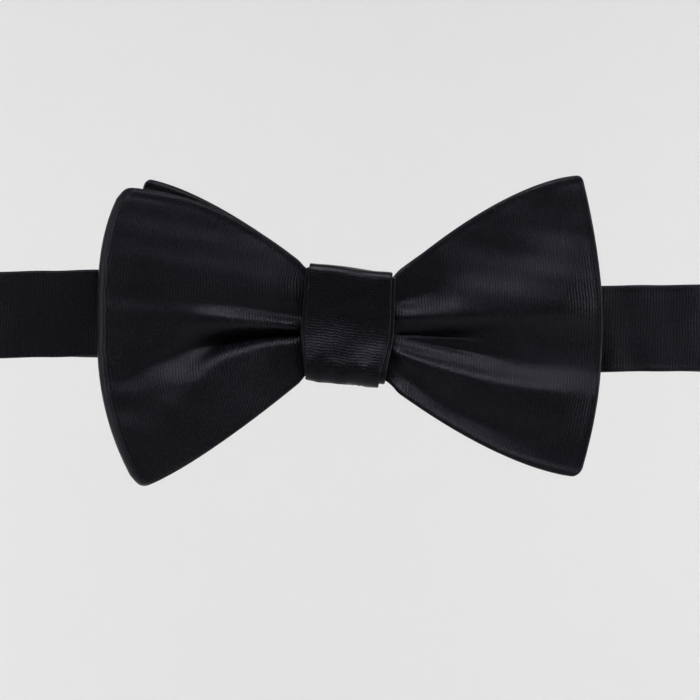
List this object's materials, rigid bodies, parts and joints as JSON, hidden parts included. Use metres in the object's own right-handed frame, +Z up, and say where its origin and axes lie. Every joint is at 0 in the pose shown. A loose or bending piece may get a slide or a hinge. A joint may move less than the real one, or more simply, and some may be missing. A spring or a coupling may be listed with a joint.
{
  "type": "bow tie",
  "caption": "Ready-tied butterfly bow tie in ribbed black silk, on an adjustable neck band with a slide, a hook and an eye.",
  "frame": {"origin": "the middle of the knot's flat back, which rests on the collar's front", "axes": "+X along the bow, to the right seen from the front; +Y back towards the neck; +Z up as worn"},
  "size_m": [0.2084, 0.0666, 0.0728],
  "materials": {
    "bow_silk": "ribbed silk with a soft satin sheen",
    "band_silk": "ribbed silk",
    "lining_silk": "plain silk lining",
    "interlining": "woven cotton and wool canvas",
    "thread": "twisted sewing thread",
    "label": "woven satin tape, blank",
    "nickel": "nickel-plated steel, satin polish"
  },
  "bodies": {
    "bow": {"front_bow_face": "bow_silk", "front_bow_interlining": "interlining", "front_bow_lining": "lining_silk", "rear_bow_face": "bow_silk", "rear_bow_interlining": "interlining", "rear_bow_lining": "lining_silk", "knot_wrap": "bow_silk", "knot_interlining": "interlining", "knot_tack": "thread", "band_front": "band_silk", "band_front_interlining": "interlining", "band_anchor_stitches": "thread", "size_label": "label", "label_stitches": "thread"},
    "left_half": {"band_left": "band_silk", "band_left_interlining": "interlining", "eye_bartack": "thread"},
    "eye": {"eye_clasp": "nickel"},
    "right_half": {"band_right_turn": "band_silk", "band_right_interlining": "interlining", "strap_run": "band_silk", "strap_run_interlining": "interlining"},
    "strap_end": {"strap_bight": "band_silk", "strap_return": "band_silk", "strap_return_interlining": "interlining"},
    "hook": {"hook_clasp": "nickel"},
    "slide": {"slide_adjuster": "nickel", "slide_tab": "band_silk", "slide_bartack": "thread"}
  },
  "joints": [
    {"name": "left_band_swing", "type": "hinge", "parent": "bow", "child": "left_half", "pos_m": [-0.10347, 0.0213, 0.00364], "axis": [0.0236, 0, 0.9997], "range_deg": [0, 60]},
    {"name": "right_band_swing", "type": "hinge", "parent": "bow", "child": "right_half", "pos_m": [0.10347, 0.0213, -0.00124], "axis": [-0.0236, 0, -0.9997], "range_deg": [0, 60]},
    {"name": "eye_pivot", "type": "hinge", "parent": "left_half", "child": "eye", "pos_m": [-0.05598, 0.04374, 0.00252], "axis": [0.0236, 0, 0.9997], "range_deg": [-60, 60]},
    {"name": "strap_adjust", "type": "slide", "parent": "right_half", "child": "strap_end", "axis": [0.9997, 0, -0.0236], "range_m": [0, 0.042], "deforming": ["strap_run", "strap_run_interlining"]},
    {"name": "hook_pivot", "type": "hinge", "parent": "strap_end", "child": "hook", "pos_m": [-0.03399, 0.04586, 0.002], "axis": [0.0236, 0, 0.9997], "range_deg": [-35, 35]},
    {"name": "slide_travel", "type": "slide", "parent": "strap_end", "child": "slide", "axis": [0.9997, 0, -0.0236], "range_m": [0, 0.042], "deforming": ["strap_return", "strap_return_interlining"]}
  ],
  "couplings": [
    {"joint": "slide_travel", "follows": "strap_adjust", "ratio": 1}
  ]
}
